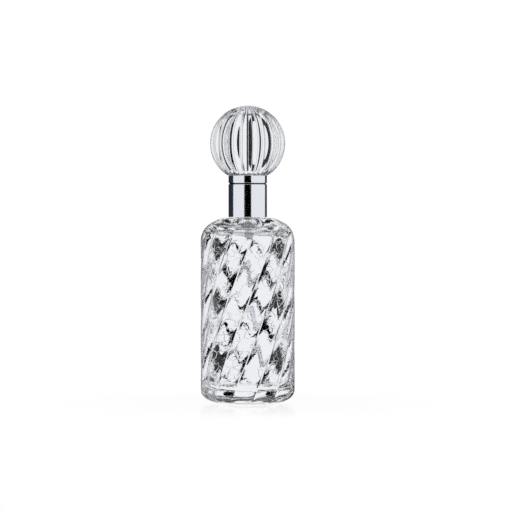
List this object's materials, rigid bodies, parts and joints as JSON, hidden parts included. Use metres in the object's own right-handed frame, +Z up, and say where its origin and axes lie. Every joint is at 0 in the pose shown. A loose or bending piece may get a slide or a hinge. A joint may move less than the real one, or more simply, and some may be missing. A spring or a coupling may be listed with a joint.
{
  "type": "perfume atomiser",
  "caption": "Refillable perfume atomiser: swirl-ribbed crackle-glass bottle, screw-on fine-mist pump and a lift-off metal cap topped by a lobed glass ball.",
  "frame": {"origin": "centre of the bottle's resting face", "axes": "+Z up along the bottle's axis, towards the ball; -Y is the front, where the spray nozzle points"},
  "size_m": [0.044, 0.044, 0.1388],
  "materials": {
    "crackle_glass": "clear, crackled in the hollows between smooth swirled ribs",
    "clear_glass": "clear, fire polished",
    "polished_metal": "mirror polished silver plating",
    "plated_neck": "turned and plated",
    "spring_steel": "bright drawn wire",
    "steel_ball": "ground",
    "white_plastic": "moulded polypropylene",
    "soft_seal": "soft polyethylene",
    "clear_tube": "extruded clear polymer",
    "cement": "hard white cement",
    "clear_adhesive": "cured clear adhesive"
  },
  "bodies": {
    "bottle": {"glass_bottle": "crackle_glass", "neck_thread_ring": "plated_neck", "neck_cement": "cement"},
    "pump": {"pump_housing": "white_plastic", "stem_guide": "white_plastic", "ball_retainer": "white_plastic", "dip_tube": "clear_tube", "neck_gasket": "soft_seal", "main_spring": "spring_steel"},
    "valve_ball": {"inlet_ball": "steel_ball"},
    "stem": {"pump_stem": "white_plastic", "pump_piston": "soft_seal"},
    "button": {"button_core": "white_plastic", "button_shell": "polished_metal", "spray_insert": "white_plastic"},
    "collar": {"screw_collar": "white_plastic", "collar_shell": "polished_metal"},
    "cap": {"cap_sleeve": "polished_metal", "cap_liner": "white_plastic", "cap_ring": "polished_metal", "ball_adhesive": "clear_adhesive", "glass_ball": "clear_glass"}
  },
  "joints": [
    {"name": "collar_unscrew", "type": "hinge", "parent": "pump", "child": "collar", "pos_m": [0, 0, 0.088], "axis": [0, 0, 1], "range_deg": [0, 600]},
    {"name": "pump_rise", "type": "slide", "parent": "bottle", "child": "pump", "axis": [0, 0, 1], "range_m": [0, 0.0036]},
    {"name": "button_press", "type": "slide", "parent": "pump", "child": "stem", "axis": [0, 0, -1], "range_m": [0, 0.003], "stiffness_N_per_m": 1500, "springref_m": -0.004, "deforming": ["main_spring"]},
    {"name": "button_turn", "type": "hinge", "parent": "stem", "child": "button", "pos_m": [0, 0, 0.102], "axis": [0, 0, 1], "continuous": true},
    {"name": "inlet_ball_lift", "type": "slide", "parent": "pump", "child": "valve_ball", "axis": [0, 0, 1], "range_m": [0, 0.0003]},
    {"name": "cap_lift", "type": "slide", "parent": "collar", "child": "cap", "axis": [0, 0, 1], "range_m": [0, 0.04]}
  ],
  "couplings": [
    {"joint": "pump_rise", "follows": "collar_unscrew", "m_per_rad": 0.00033423}
  ]
}
